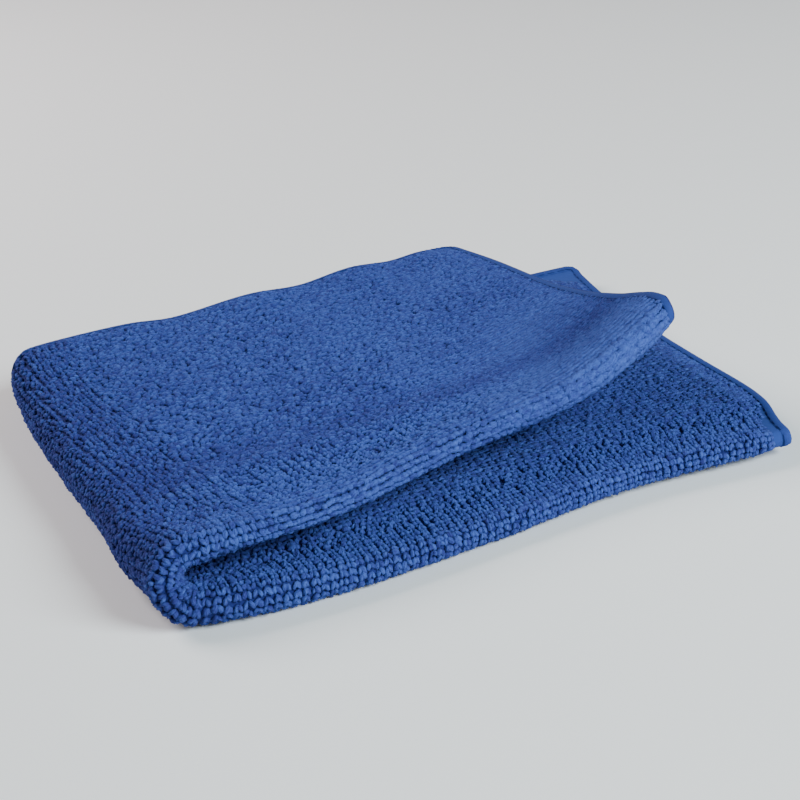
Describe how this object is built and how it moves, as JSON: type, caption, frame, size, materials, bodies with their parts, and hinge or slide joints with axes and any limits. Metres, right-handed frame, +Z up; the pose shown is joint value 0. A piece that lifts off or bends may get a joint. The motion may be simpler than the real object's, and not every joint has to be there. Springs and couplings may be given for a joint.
{
  "type": "microfibre cloth",
  "caption": "Square terry-knit microfibre cloth folded in half and then over on itself, its top half a little askew with one free corner lifted.",
  "frame": {"origin": "on the surface the cloth lies on, below the middle of its bounding box", "axes": "+X from the rounded fold at the left towards the open hems at the right, +Y from the front crease towards the back hems, +Z up"},
  "size_m": [0.1738, 0.1816, 0.0349],
  "materials": {
    "microfibre": "looped terry pile, matt, royal blue"
  },
  "bodies": {
    "root": {"cloth": "microfibre"}
  },
  "joints": []
}
